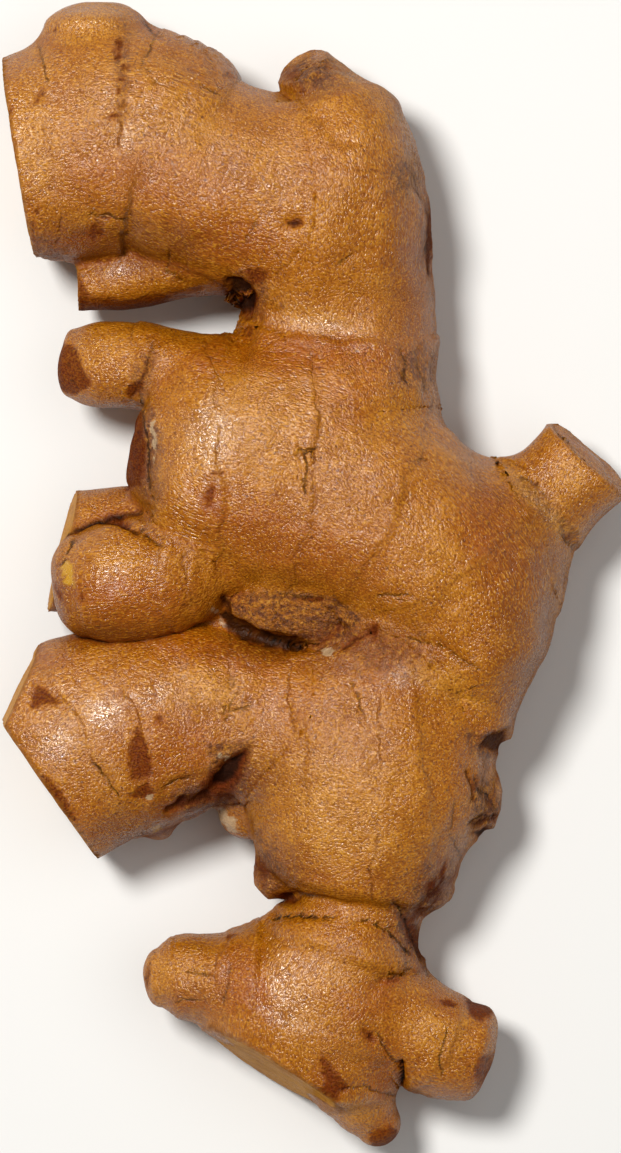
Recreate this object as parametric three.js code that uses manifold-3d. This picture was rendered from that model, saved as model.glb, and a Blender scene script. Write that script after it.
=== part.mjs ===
// Hand of fresh ginger root (rhizome) lying on its flatter side.
// Millimetres, +Z up, +Y along the hand, origin on the resting plane under the middle of its box.
// One solid: lobes and buds are swept along their own spines, joined, and cut where a knife
// or a break left a flat face.
import * as THREE from "three";
import { mergeVertices } from "three/addons/utils/BufferGeometryUtils.js";
import Module from "manifold-3d";

const wasm = await Module();
wasm.setup();

// Driving dimensions
const pressedFlat = 0.8; // how far the lowest skin is flattened where the hand rests
const sectionPower = 2.2; // 2 is an ellipse, more is boxier
const lobeSides = 22;
const budSides = 14;
const lobeStep = 4.4; // distance between rings of vertices along a lobe
const budStep = 3;
const domeRows = 3; // rings of vertices in each rounded end
const nodePitch = 14; // distance between leaf-scar rings along a lobe
const nodeSwell = 0.5; // how far the skin swells between two rings
const knifeReach = 60; // half the side of the block that makes a cut
const skinColour = 0xa2672d;
const skinRoughness = 0.55;

// Each station along a spine is [x, y, half width, z, half height].
// dome is how far the rounded start and end reach past the first and last station.
const lobes = {
  upperFinger: {
    dome: [0, 6],
    stations: [
      [-52, 62.5, 13.2, 16.5, 14],
      [-46.5, 64.8, 16.3, 17, 15.5],
      [-40, 66.1, 17.4, 17, 16],
      [-34.5, 67, 17.7, 17, 16.5],
      [-26, 67.8, 18.2, 17, 17],
      [-18, 64.3, 16.8, 17, 17],
      [-9.5, 60.4, 15.5, 17, 17],
      [1.5, 57.5, 14.3, 16, 15.5],
    ],
  },
  upperTrunk: {
    dome: [4.3, 6],
    stations: [
      [4, 72.3, 9.2, 16, 13.5],
      [5.5, 65, 11.2, 16.5, 16],
      [5.5, 55.5, 13.1, 16.5, 16],
      [4, 44.5, 15.2, 15.5, 14.5],
      [5.5, 36, 14.2, 15.5, 14.5],
      [8, 26, 12, 17, 16],
    ],
  },
  middleFinger: {
    dome: [2.4, 7],
    stations: [
      [-22.8, 23.4, 13, 17, 12],
      [-19, 21.2, 16.8, 17.5, 16],
      [-13, 18.7, 20.1, 18, 18],
      [-1.5, 16, 20.5, 18.5, 18.5],
      [11.5, 9, 17.5, 18.5, 18.5],
      [21, -1, 16, 18, 17.5],
      [25, -11.5, 12.5, 17, 15.5],
    ],
  },
  lowerTrunk: {
    dome: [3, 3],
    stations: [
      [14.5, -10, 12.5, 16, 14],
      [12, -19.5, 16.5, 16.5, 16],
      [9.5, -30.5, 19.3, 17, 17],
      [7.5, -40, 17.5, 16.5, 16],
      [6, -47.5, 14.5, 16, 14],
    ],
  },
  lowerFinger: {
    dome: [0, 3],
    stations: [
      [-47, -32.2, 17, 15, 13.5],
      [-36, -26.5, 17, 15.5, 15],
      [-26, -23.5, 16.5, 15.5, 15.5],
      [-16.5, -21.5, 15, 15.5, 15],
      [-5, -22, 12, 16, 14.5],
      [3, -24, 11, 16, 14],
    ],
  },
  endLobe: {
    dome: [5, 3],
    stations: [
      [6.2, -58.5, 10.8, 15, 12.5],
      [2.4, -64, 14.8, 15, 14],
      [-1, -72, 15.5, 14.5, 13.5],
      [-1.5, -80.5, 13.5, 14, 12.5],
    ],
  },
};

const buds = {
  topKnob: {
    dome: [3, 1.6],
    stations: [
      [5.5, 69.5, 9.2, 17, 13],
      [1.7, 75.2, 6.3, 18, 11],
      [-0.6, 79.1, 4.5, 19, 8],
    ],
  },
  upperFingerTopBud: {
    dome: [1.5, 3.4],
    stations: [
      [-33.5, 77.5, 10.5, 17, 13],
      [-34, 83, 8.8, 17.5, 10.5],
      [-34.2, 86.5, 7.8, 18, 8.5],
    ],
  },
  upperFingerSideBud: {
    dome: [1.5, 1.5],
    stations: [
      [-13.5, 49.8, 5.1, 15, 11],
      [-20.5, 48.8, 4.9, 14.5, 9],
      [-28.5, 47.3, 5.2, 14, 7],
      [-37, 45.2, 3.8, 14, 6],
    ],
  },
  middleFingerBud: {
    dome: [1.5, 2],
    stations: [
      [-15, 30, 7.3, 17, 13],
      [-22, 31.8, 6.5, 17, 11],
      [-28.5, 32.9, 6.7, 17, 9],
      [-34, 33.3, 6.6, 16.5, 7.5],
      [-37.6, 33.5, 5.3, 16, 5.5],
    ],
  },
  crossBud: {
    dome: [3, 5.2],
    stations: [
      [-14, 2.5, 9.5, 20, 11],
      [-21.5, 1, 10.5, 20.5, 12.5],
      [-28, -0.2, 10, 21, 12],
      [-34.2, -1.2, 9.2, 20, 10.5],
    ],
  },
  crossBudStub: {
    dome: [3, 1],
    stations: [
      [-20, 8.5, 6.5, 15, 9],
      [-29, 6.5, 7.8, 14.5, 9],
      [-37, 4.3, 9.5, 14, 9],
      [-45, 3.6, 9.7, 14, 9],
    ],
  },
  flank: {
    dome: [4, 5],
    stations: [
      [31.5, 9.5, 6.5, 16, 10],
      [31, 2.5, 6.6, 16, 13],
      [29.3, -5.5, 7.1, 16, 14],
      [27, -16.5, 6.4, 16, 13.5],
      [25.3, -23.5, 6.6, 16, 12],
    ],
  },
  stemStub: {
    dome: [5, 1.6],
    stations: [
      [30, 5, 12.3, 16, 11],
      [34.5, 9.7, 9.6, 16.5, 9],
      [38.8, 14, 8.5, 17, 8.5],
      [42.8, 18, 8.7, 17.5, 8.5],
    ],
  },
  skinWeb: {
    dome: [1, 3],
    stations: [
      [-6.5, -33.5, 8, 14, 9],
      [-11.5, -38.5, 4.5, 13, 4.5],
    ],
  },
  neck: {
    dome: [1.5, 3],
    stations: [
      [9, -44, 13.5, 15, 14],
      [7.8, -51.5, 9.9, 15, 12],
      [5.6, -58, 11.9, 15, 13],
    ],
  },
  endLobeLeftBud: {
    dome: [1, 2.8],
    stations: [
      [-9, -63.5, 9.5, 15, 11],
      [-16, -63.3, 7.5, 15, 8.5],
      [-21, -63.1, 6.9, 15, 7.2],
      [-24, -63.3, 4.9, 15, 5.2],
    ],
  },
  endLobeRightBud: {
    dome: [1.5, 3],
    stations: [
      [9.5, -66.5, 9.2, 15, 11],
      [16, -71.3, 8.6, 15, 10],
      [21, -74.4, 8.7, 15, 10],
      [24.9, -77, 8.3, 15, 9],
    ],
  },
  endLobeTip: {
    dome: [1, 3.9],
    stations: [
      [5.5, -76, 7, 14.5, 10],
      [8.2, -82, 5.8, 14, 7.5],
      [10.6, -86.2, 4.1, 13.5, 5],
    ],
  },
  creaseScale: {
    dome: [1.5, 3],
    stations: [
      [-12, -4.5, 2, 25, 4],
      [-5.5, -6.5, 3.5, 25.5, 5],
      [3, -8, 3, 25, 5],
    ],
  },
  lowerFingerNub: {
    dome: [1, 2.4],
    stations: [
      [-23.5, -34.5, 5, 12, 7],
      [-25.3, -39.2, 3.7, 11.5, 5],
    ],
  },
  brokenScar: {
    dome: [1, 2.5],
    stations: [
      [21.5, -35, 8, 16, 10],
      [27.4, -36.2, 5.2, 15, 6],
    ],
  },
  lowerRightCorner: {
    dome: [1, 2.6],
    stations: [
      [16.5, -43.5, 7.5, 15, 11],
      [18.6, -50, 4.4, 14, 7],
    ],
  },
  lowerLeftCorner: {
    dome: [1, 1.5],
    stations: [
      [-1.5, -43.5, 7, 14, 10],
      [-6, -48, 3.7, 13, 7],
    ],
  },
};

// Flat cut faces: a point on the face, the compass angle it faces (0 is +X, 90 is +Y)
// and how far it leans back from upright, in degrees.
const cuts = [
  { lobe: "upperFinger", at: [-45.9, 64.5, 17], faces: 190.5, lean: 0 },
  { lobe: "lowerFinger", at: [-40.6, -33.6, 15], faces: 213.8, lean: 4 },
  { lobe: "lowerFinger", at: [-44.8, -16.4, 15], faces: 155, lean: 9 },
  { lobe: "endLobe", at: [-6.2, -78.7, 14], faces: 236.8, lean: 10 },
  { lobe: "upperFingerSideBud", at: [-36.8, 45, 14], faces: 181, lean: 0 },
  { lobe: "crossBudStub", at: [-38.8, 4.5, 14], faces: 166.5, lean: 9 },
];

const degrees = Math.PI / 180;

// A closed mesh of three.js as a manifold-3d solid.
function solidOf(geometry) {
  const bare = geometry.clone();
  bare.deleteAttribute("normal");
  bare.deleteAttribute("uv");
  const merged = mergeVertices(bare, 1e-4);
  return new wasm.Manifold(
    new wasm.Mesh({
      numProp: 3,
      vertProperties: new Float32Array(merged.attributes.position.array),
      triVerts: new Uint32Array(merged.index.array),
    }),
  );
}

// Radius of the unit section at an angle: an ellipse squared up a little.
function sectionRadius(angle) {
  const across = Math.abs(Math.sin(angle)) ** sectionPower;
  const upward = Math.abs(Math.cos(angle)) ** sectionPower;
  return (across + upward) ** (-1 / sectionPower);
}

// A lobe: a cylinder whose rings of vertices are moved onto the stations of its spine,
// with the first and last rings drawn in to round the ends.
function sweptLobe({ stations, dome }, sides, step) {
  const spine = new THREE.CatmullRomCurve3(
    stations.map(([x, y, , z]) => new THREE.Vector3(x, y, z - pressedFlat)),
    false,
    "catmullrom",
    0.5,
  );
  const girth = new THREE.CatmullRomCurve3(
    stations.map(([, , halfWidth, , halfHeight]) => new THREE.Vector3(halfWidth, halfHeight, 0)),
    false,
    "catmullrom",
    0.5,
  );
  const length = spine.getLength();
  const bodyRows = Math.max(3, Math.round(length / step));
  const rows = bodyRows + 2 * domeRows;
  const geometry = new THREE.CylinderGeometry(1, 1, 1, sides, rows);
  const position = geometry.attributes.position;
  const centre = new THREE.Vector3();
  const side = new THREE.Vector3();
  const up = new THREE.Vector3();
  const upright = new THREE.Vector3(0, 0, 1);

  for (let i = 0; i < position.count; i++) {
    const across = position.getX(i);
    const upward = position.getZ(i);
    const row = Math.round((position.getY(i) + 0.5) * rows);
    const along = THREE.MathUtils.clamp((row - domeRows) / bodyRows, 0, 1);
    const intoStart = Math.max(0, domeRows - row) / domeRows;
    const intoEnd = Math.max(0, row - domeRows - bodyRows) / domeRows;
    const turn = Math.max(intoStart, intoEnd) * 80 * degrees;
    const reach = (intoStart > 0 ? -dome[0] : dome[1]) * Math.sin(turn);

    spine.getPoint(along, centre);
    const size = girth.getPoint(along);
    const tangent = spine.getTangent(along);
    side.crossVectors(tangent, upright).normalize();
    up.crossVectors(side, tangent).normalize();

    const swell = nodeSwell * Math.abs(Math.sin((Math.PI * along * length) / nodePitch));
    const angle = Math.atan2(across, upward);
    const radius = Math.hypot(across, upward) * sectionRadius(angle) * Math.cos(turn);
    centre.addScaledVector(tangent, reach);
    centre.addScaledVector(side, radius * Math.sin(angle) * (size.x + swell - nodeSwell / 2));
    centre.addScaledVector(up, radius * Math.cos(angle) * (size.y + swell - nodeSwell / 2));
    position.setXYZ(i, centre.x, centre.y, centre.z);
  }
  return solidOf(geometry);
}

// The block that a cut takes away: its near face lies on the cut.
function cutAway({ at, faces, lean }) {
  const block = new THREE.BoxGeometry(2 * knifeReach, 2 * knifeReach, 2 * knifeReach);
  block.translate(knifeReach, 0, 0);
  block.rotateY(-lean * degrees);
  block.rotateZ(faces * degrees);
  block.translate(at[0], at[1], at[2] - pressedFlat);
  return solidOf(block);
}

function tableTop() {
  const block = new THREE.BoxGeometry(400, 400, 40);
  block.translate(0, 0, -20);
  return solidOf(block);
}

function gingerSolid() {
  let whole = null;
  const groups = [
    [lobes, lobeSides, lobeStep],
    [buds, budSides, budStep],
  ];
  for (const [group, sides, step] of groups) {
    for (const [name, shape] of Object.entries(group)) {
      let piece = sweptLobe(shape, sides, step);
      for (const cut of cuts.filter((c) => c.lobe === name)) {
        piece = piece.subtract(cutAway(cut));
      }
      whole = whole ? whole.add(piece) : piece;
    }
  }
  return whole.subtract(tableTop());
}

function geometryOf(solid) {
  const { vertProperties, triVerts } = solid.getMesh();
  const geometry = new THREE.BufferGeometry();
  geometry.setAttribute("position", new THREE.BufferAttribute(vertProperties, 3));
  geometry.setIndex(new THREE.BufferAttribute(triVerts, 1));
  geometry.computeVertexNormals();
  return geometry;
}

const skin = new THREE.MeshStandardMaterial({
  color: skinColour,
  roughness: skinRoughness,
  metalness: 0,
});

const root = new THREE.Mesh(geometryOf(gingerSolid()), skin);
root.name = "ginger_root";

const group = new THREE.Group();
group.add(root);

export default group;
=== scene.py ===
import math
import bpy
import numpy as np
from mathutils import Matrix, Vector


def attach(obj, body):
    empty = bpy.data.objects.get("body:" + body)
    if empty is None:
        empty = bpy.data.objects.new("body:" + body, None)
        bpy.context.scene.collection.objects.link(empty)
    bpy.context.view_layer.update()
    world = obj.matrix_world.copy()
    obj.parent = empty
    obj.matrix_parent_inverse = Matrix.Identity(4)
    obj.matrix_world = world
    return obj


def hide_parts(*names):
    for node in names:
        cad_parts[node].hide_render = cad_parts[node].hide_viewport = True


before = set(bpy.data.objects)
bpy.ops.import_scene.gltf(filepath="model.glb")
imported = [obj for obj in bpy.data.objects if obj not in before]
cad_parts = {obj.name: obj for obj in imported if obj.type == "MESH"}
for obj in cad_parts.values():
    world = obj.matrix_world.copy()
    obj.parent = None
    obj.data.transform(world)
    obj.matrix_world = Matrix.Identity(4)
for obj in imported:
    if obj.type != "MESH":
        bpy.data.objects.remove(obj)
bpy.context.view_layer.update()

mm = 0.001

# Every length below is in millimetres, every angle in degrees.
# A station is (x, y, half width, z, half height). Dome is how far the rounded ends reach past the
# stations. A cut goes through a point, and its flat faces a way round from +X and leans up from level.
gingerRoot = {
    "pressedFlat": 0.8,    # how far the lowest skin is flattened on the table
    "boxiness": 2.2,       # 2 gives oval sections, more gives squarer ones
    "voxel": 0.7,          # size of the mesh's squares
    "lumps": ((15, 0.45), (6.5, 0.25), (2.9, 0.14)),    # (width, height) of the unevenness
    "scabs": ((1.5, 0.28), (3.1, 0.2)),    # the same for rough places
    "holeDepth": 1.3,
    "scarDepth": 0.1,
    # where each feature's random numbers start
    "seeds": {"scabs": 21, "lumps": 40, "ringBends": 70, "ringWobbles": 90, "ringBreaks": 110, "clefts": 200,
              "marks": 300, "tonesGlossAndPaintedLight": 500, "cracks": 620, "patches": 800},
    "lobes": {
        "upperFinger": {"dome": (0, 6), "blend": 7, "stations": (
            (-52, 62.3, 12.6, 16.5, 14), (-46.5, 64.5, 16, 17, 15.5), (-40, 66.1, 17.4, 17, 16),
            (-34.5, 67, 17.7, 17, 16.5), (-26, 67.8, 18.2, 17, 17), (-18, 63.5, 15.9, 17, 17),
            (-9.5, 60.3, 15.5, 17, 17), (1.5, 57.5, 14.3, 16, 15.5)),
            "cuts": ({"at": (-45.8, 64.5, 17), "faces": 189.4, "lean": 0},)},
        "upperTrunk": {"dome": (3.7, 6), "blend": 7, "stations": (
            (3.7, 72.1, 9, 16, 13.5), (5.5, 65, 11.2, 16.5, 16), (5.5, 55.5, 13.1, 16.5, 16),
            (4.4, 44.5, 14.9, 15.5, 14.5), (5.5, 36, 14.2, 15.5, 14.5), (8, 26, 12, 17, 16))},
        "middleFinger": {"dome": (2.4, 7), "blend": 7, "stations": (
            (-24.2, 22.6, 12.4, 17, 12), (-19, 21.2, 16.8, 17.5, 16), (-13, 18.7, 20.1, 18, 18),
            (-1.5, 16, 20.5, 18.5, 18.5), (11.5, 9, 17.5, 18.5, 18.5), (21, -1, 16, 18, 17.5),
            (25, -11.5, 12.5, 17, 15.5))},
        "lowerTrunk": {"dome": (3, 3), "blend": 7, "grainTurn": 0, "stations": (
            (14.5, -10, 12.5, 16, 14), (12, -19.5, 16.5, 16.5, 16), (9.5, -30.5, 19.3, 17, 17),
            (7.5, -40, 17.5, 16.5, 16), (6, -47.5, 14.5, 16, 14))},
        "lowerFinger": {"dome": (0, 3), "blend": 6, "stations": (
            (-47, -32.2, 17, 15, 13.5), (-36, -26.5, 17, 15.5, 15), (-26, -23.5, 16.5, 15.5, 15.5),
            (-16.5, -21.5, 15, 15.5, 15), (-5, -22, 12, 16, 14.5), (3, -24, 11, 16, 14)),
            "cuts": ({"at": (-41.1, -33.7, 15), "faces": 215.2, "lean": 2},
                     {"at": (-45.2, -16.2, 15), "faces": 155, "lean": 4})},
        "endLobe": {"dome": (5, 3), "blend": 5, "stations": (
            (6.6, -58.5, 10.5, 15, 12.5), (2.6, -64, 14.4, 15, 14), (-1, -72, 15.5, 14.5, 13.5),
            (-1.5, -80.5, 13.5, 14, 12.5)),
            "cuts": ({"at": (-5.9, -78.2, 14), "faces": 237.4, "lean": 10},)},
        "topKnob": {"dome": (3, 1.6), "blend": 3, "stations": (
            (5.3, 69.5, 8.8, 17, 13), (1.7, 75.2, 6.3, 18, 11), (-0.9, 79.1, 4.7, 19, 8))},
        "upperFingerTopBud": {"dome": (1.5, 3.4), "blend": 3, "stations": (
            (-33.5, 77.5, 10.5, 17, 13), (-34, 83, 8.8, 17.5, 10.5), (-34.2, 86.5, 7.8, 18, 8.5))},
        "upperFingerSideBud": {"dome": (1.5, 1.5), "blend": 1.5, "stations": (
            (-13.5, 49.8, 5.1, 15, 11), (-20.5, 48.8, 4.9, 14.5, 9), (-28.5, 47.3, 5.2, 14, 7),
            (-37, 45.2, 3.8, 14, 6)),
            "cuts": ({"at": (-36.8, 45, 14), "faces": 181, "lean": 0},)},
        "middleFingerBud": {"dome": (1.5, 2), "blend": 2.5, "stations": (
            (-15, 30, 7.3, 17, 13), (-22, 31.8, 6.5, 17, 11), (-28.5, 32.9, 6.7, 17, 9),
            (-34, 33.3, 6.6, 16.5, 7.5), (-37.6, 33.5, 5.3, 16, 5.5))},
        "crossBud": {"dome": (3, 5.6), "blend": 2.5, "stations": (
            (-13, 3.4, 7.6, 19, 9), (-18.5, 1.8, 8.4, 20, 11), (-24.5, 0, 9.7, 21, 12.2),
            (-30.5, -0.8, 9.9, 21, 12.2), (-34.6, -1.2, 8.6, 20, 10.8))},
        "crossBudStub": {"dome": (3, 1), "blend": 1.2, "stations": (
            (-20, 8.5, 6.5, 15, 9), (-29, 6, 8.2, 14.5, 9), (-37, 4, 9.5, 14, 9),
            (-45, 3.6, 9.4, 14, 9)),
            "cuts": ({"at": (-39, 4.5, 14), "faces": 166.5, "lean": 6},)},
        "flank": {"dome": (4, 5), "blend": 7, "stations": (
            (31.5, 9.5, 6.5, 16, 10), (31, 2.5, 6, 16, 13), (29, -5.5, 6.5, 16, 14),
            (27, -16.5, 6.4, 16, 13.5), (25.3, -22.5, 6.8, 16, 12))},
        "stemStub": {"dome": (5, 1.6), "blend": 7, "stations": (
            (30, 5, 12.3, 16, 11), (34.5, 9.7, 9.2, 16.5, 9), (38.8, 14, 8.2, 17, 8.5),
            (42.9, 18.2, 8.7, 17.5, 8.5))},
        "skinWeb": {"dome": (1, 3), "blend": 2, "stations": (
            (-6.5, -33.5, 7.6, 14, 9), (-11.3, -38, 3.9, 13, 4.5))},
        "neck": {"dome": (1.5, 3), "blend": 3, "stations": (
            (9, -44, 13.5, 15, 14), (7.8, -51.5, 9.9, 15, 12), (5.6, -58, 11.9, 15, 13))},
        "endLobeLeftBud": {"dome": (1, 2.8), "blend": 4, "stations": (
            (-9, -64.1, 8.7, 15, 11), (-16, -63.5, 7.2, 15, 8.5), (-21, -63.1, 6.9, 15, 7.2),
            (-24, -63.3, 4.9, 15, 5.2))},
        "endLobeRightBud": {"dome": (1.5, 3), "blend": 3, "stations": (
            (9.5, -66.5, 9, 15, 11), (15.5, -71, 8.3, 15, 10), (20.6, -73.9, 8.4, 15, 10),
            (25.7, -75.2, 7.7, 15, 9))},
        "endLobeTip": {"dome": (1, 3.9), "blend": 3, "stations": (
            (5.5, -76, 7, 14.5, 10), (7.7, -82.2, 5.7, 14, 7.5), (10.4, -86.2, 3.9, 13.5, 5))},
        "creaseScale": {"dome": (2.6, 4), "blend": 1.5, "stations": (
            (-11, -4.9, 2.9, 21.5, 4.6), (-6, -5.5, 4.4, 22.5, 5), (1.5, -6.3, 4.6, 22, 5.4))},
        "creaseFloor": {"dome": (1.5, 2), "blend": 1.6, "stations": (
            (-35.5, -7.2, 2.6, 12, 5), (-20.5, -4, 3.8, 14, 7.5), (-12, -5.6, 4.6, 15.5, 7.5),
            (-3, -8.5, 4.6, 16, 8))},
        "lowerFingerNub": {"dome": (1, 2.4), "blend": 1.5, "stations": (
            (-23.5, -34.5, 5, 12, 7), (-25.3, -39.2, 3.7, 11.5, 5))},
        "brokenScar": {"dome": (1, 2.5), "blend": 2, "stations": (
            (21.5, -35, 8, 16, 10), (27.4, -36.2, 5.2, 15, 6))},
        "lowerRightCorner": {"dome": (1, 2.6), "blend": 2, "stations": (
            (16.5, -43.5, 7.5, 15, 11), (18.6, -50, 4.4, 14, 7))},
        "lowerLeftCorner": {"dome": (1, 1.5), "blend": 2, "stations": (
            (-1.5, -43.5, 7, 14, 10), (-6, -48, 3.7, 13, 7))},
    },
    # how softly two lobes run into each other, where it isn't the smaller of their own blends
    "joins": {
        ("crossBud", "lowerFinger"): 0.4, ("middleFinger", "lowerFinger"): 0.6,
        ("upperFinger", "middleFinger"): 1.5, ("upperTrunk", "middleFinger"): 6,
        ("upperFinger", "upperTrunk"): 9, ("middleFinger", "lowerTrunk"): 5, ("flank", "lowerTrunk"): 3,
        ("flank", "stemStub"): 7, ("neck", "lowerTrunk"): 2.5, ("neck", "endLobe"): 5,
        ("creaseScale", "lowerFinger"): 0.4, ("creaseScale", "lowerTrunk"): 1.6,
        ("creaseScale", "middleFinger"): 4.5, ("crossBud", "middleFingerBud"): 0.6,
        ("crossBudStub", "crossBud"): 0.8, ("crossBudStub", "lowerFinger"): 0.4,
        ("crossBudStub", "middleFinger"): 1.5, ("topKnob", "upperFinger"): 1.2,
        ("stemStub", "middleFinger"): 7, ("upperFingerSideBud", "middleFingerBud"): 0.4,
    },
    # leaf-scar rings: the lobe, a point on the line, the way its plane faces, how far the line bows,
    # the groove's depth, the step down past it, and how dark it is
    "rings": (
        ("upperFinger", (-41.6, 76), 184, 0.5, 0.08, 0.12, 0.7),
        ("upperFinger", (-29.6, 74.5), 182, 0.8, 0.1, 0.2, 0.8),
        ("upperFinger", (-20.3, 60), 178, 1.5, 0.06, 0.2, 0.35),
        ("upperFinger", (-13, 68), 196, 1, 0.04, 0.12, 0.4),
        ("upperTrunk", (8, 63), 80, 3, 0.08, 0.3, 0.35), ("upperTrunk", (5, 36), 86, -2, 0.1, 0.6, 0.3),
        ("middleFinger", (-14.2, 20), 4, 1.5, 0.08, 0.5, 0.6),
        ("middleFinger", (0, 15), 356, 1.6, 0.06, 0.3, 0.6),
        ("middleFinger", (13.5, 11), 334, 2, 0.05, 0.3, 0.35),
        ("middleFinger", (22, -1), 300, 2, 0.04, 0.2, 0.25),
        ("lowerTrunk", (-1.5, -33), 176, -1, 0.06, 0.2, 0.5),
        ("lowerTrunk", (9.5, -33), 180, 0, 0.05, 0.12, 0.5),
        ("lowerTrunk", (18.5, -33), 4, 1, 0.06, 0.3, 0.4),
        ("lowerFinger", (-34, -27), 208, -1.5, 0.07, 0.22, 0.5),
        ("lowerFinger", (-27, -25), 193, -1.5, 0.08, 0.3, 0.5),
        ("lowerFinger", (-19.5, -22), 186, -1.5, 0.05, 0.15, 0.3),
        ("lowerFinger", (-12, -19), 184, -1.5, 0.07, 0.25, 0.5),
        ("lowerFinger", (-2.5, -20), 183, -1.5, 0.08, 0.25, 0.5),
        ("crossBud", (-19.5, 2), 180, 2, 0.1, 0.4, 0.6),
        ("crossBud", (-24.5, 1), 180, 2.5, 0.08, 0.45, 0.4),
        ("stemStub", (36.6, 11.8), 40, 0.5, 0.1, -0.55, 0.45),
        ("endLobe", (2, -57.8), 84, -3, 0.05, 0.15, 0.25), ("endLobe", (-3, -70), 70, -3, 0.04, 0.2, 0.2),
        ("endLobeLeftBud", (-14, -63.5), 180, 1, 0.1, 0.3, 0.4),
        ("endLobeLeftBud", (-18, -63.5), 180, 1, 0.05, 0.12, 0.3),
        ("endLobeRightBud", (21.5, -74.5), 335, 1, 0.06, 0.25, 0.35),
        ("middleFingerBud", (-27, 33), 190, 1, 0.1, 0.35, 0.4),
    ),
    # thin cracks in the skin: how dark, how deep, and the line's points
    "cracks": (
        (1, 0.3, (-1.6, 19), (-0.6, 16.5), (-0.8, 14.6), (-0.9, 13)),
        (0.9, 0.25, (-1.5, 18.8), (0.6, 19.8)), (0.8, 0.4, (-30, 9.2), (-26, 7), (-23.6, 4.8)),
        (0.8, 0.25, (-33, 8.7), (-36.5, 7), (-38.8, 2)),
        (1, 0.5, (-6, -53.4), (-4.2, -52.8), (-1.3, -52.9), (3.2, -53.1)),
        (0.9, 0.4, (7, -53.9), (8.6, -53.6), (11, -54.8), (13.4, -56.6), (15, -58.8)),
        (0.9, 0.4, (13, -51), (14.8, -53.6), (16.3, -57.6), (18.2, -62.4)),
        (0.7, 0.3, (11, -63), (13, -62.3), (15.4, -61.4)), (0.6, 0.2, (-4, -3.4), (-2, -3.2), (2, -3.6)),
        (0.7, 0.25, (-22.8, -32.9), (-21.4, -31.9), (-19, -31.2)),
        (0.8, 0.3, (-33.4, -29.3), (-31.2, -31.8), (-30, -33.8)),
        (0.6, 0.2, (-11.8, -15.4), (-12, -19), (-13, -22)),
        (0.7, 0.25, (-13.2, -21.2), (-11.6, -20.7), (-9.6, -20.4)),
        (0.6, 0.2, (-24, 76), (-26, 80), (-23.8, 84.5)),
        (0.7, 0.3, (-25.8, 86.4), (-24.6, 84.9), (-23.2, 84.2)), (0.6, 0.2, (-17, 75.8), (-14.5, 74.5)),
        (0.6, 0.2, (-42.2, 82), (-41.4, 79), (-41, 77)), (0.7, 0.25, (-34, 55.4), (-31.4, 55.6), (-29, 55)),
        (0.5, 0.2, (-8.5, 55.4), (-9.9, 52)), (0.6, 0.3, (-22, 50), (-22.4, 47.4), (-20, 46)),
        (0.6, 0.2, (6.5, 50), (4.5, 48.4)), (0.7, 0.3, (14, 35), (14.6, 31), (15, 30)),
        (0.6, 0.3, (16.6, 32.6), (17.8, 29)), (0.8, 0.3, (18.6, 60), (18.2, 55), (18.2, 50), (18.7, 47)),
        (0.7, 0.3, (16.4, 62), (17.6, 57)), (0.7, 0.2, (10.8, -3), (15, -2.8)),
        (0.5, 0.2, (16.2, 17.7), (17.6, 18)),
        (0.6, 0.2, (15, -9.6), (20, -10.8), (23.5, -12.8), (25.8, -14.4)),
        (0.6, 0.2, (6.5, -17), (8.2, -22)), (0.5, 0.15, (22.3, -35.6), (21.6, -40), (24, -44.4)),
        (0.8, 0.3, (25.6, -31), (26.3, -34)), (0.9, 0.4, (25, -38.5), (27, -37.5), (29.4, -37.9)),
        (0.8, 0.3, (27, -33.6), (28.8, -36.2)), (0.7, 0.3, (21.4, -70.6), (20, -75), (20.6, -77.6)),
        (0.6, 0.25, (10.2, -71.2), (12.2, -74.6), (14, -77)),
        (0.6, 0.2, (4.6, -80), (8, -79.6), (12.8, -81.4)), (0.5, 0.15, (-12.6, -61.4), (-13.6, -66.4)),
        (0.6, 0.2, (-19.6, -61.9), (-16, -62.3)), (0.6, 0.2, (-21, -66.8), (-18, -66.4)),
        (0.6, 0.2, (33, 15.6), (35, 14.6), (36.2, 12.8)), (0.6, 0.25, (39.6, 6), (41.2, 4.2)),
        (0.5, 0.2, (-28.4, 27), (-26, 31), (-24.6, 35.6)),
        (0.8, 0.3, (-26.8, 27.6), (-25.6, 22), (-25.8, 16), (-24.4, 12.4)),
    ),
    # deep clefts: how deep, half the width, and the line's points
    "clefts": (
        (0.8, 0.7, (-13.4, -3.4), (-12.8, -6.4), (-10.2, -8.8), (-5.6, -10.4), (-1.6, -11.2)),
        (0.7, 0.8, (-16, -34), (-19.5, -35.2), (-22.4, -36.8)), (1.4, 0.5, (14.1, -76), (14.1, -80)),
        (0.9, 0.8, (-3.4, 54.4), (-1.8, 54.7)), (0.6, 0.5, (8, -70.6), (9.6, -72.2)),
        (0.7, 0.5, (5, -11.4), (7.6, -9.6), (9.8, -8.8)), (0.6, 0.6, (-4.4, -50.8), (-2, -50.4)),
        (0.7, 0.5, (-32.6, 9), (-29.6, 8.4), (-27, 7.2)), (0.6, 0.4, (24.6, -30.6), (25.6, -34.4)),
        (0.6, 0.4, (25.8, -39), (28, -38.2), (30, -38.6)),
    ),
    # many-sided marks seen from above: what they are, strength and corners; a hole is sunk as well
    "patches": (
        ("scar", 1, (-26.9, -23.2), (-25.8, -25.4), (-25.1, -27.4), (-24.4, -30.2), (-25.3, -31.4),
         (-28, -31.8), (-28.5, -29.4), (-27.9, -26.2)),
        ("scar", 0.9, (-25.4, -32), (-24.1, -33.4), (-24.9, -34.9), (-28.4, -34.2), (-27, -32.8)),
        ("scar", 0.9, (-43, -16.6), (-41.2, -17.4), (-38, -20.8), (-40.2, -20), (-41.6, -20.2),
         (-43.6, -21)),
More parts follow.
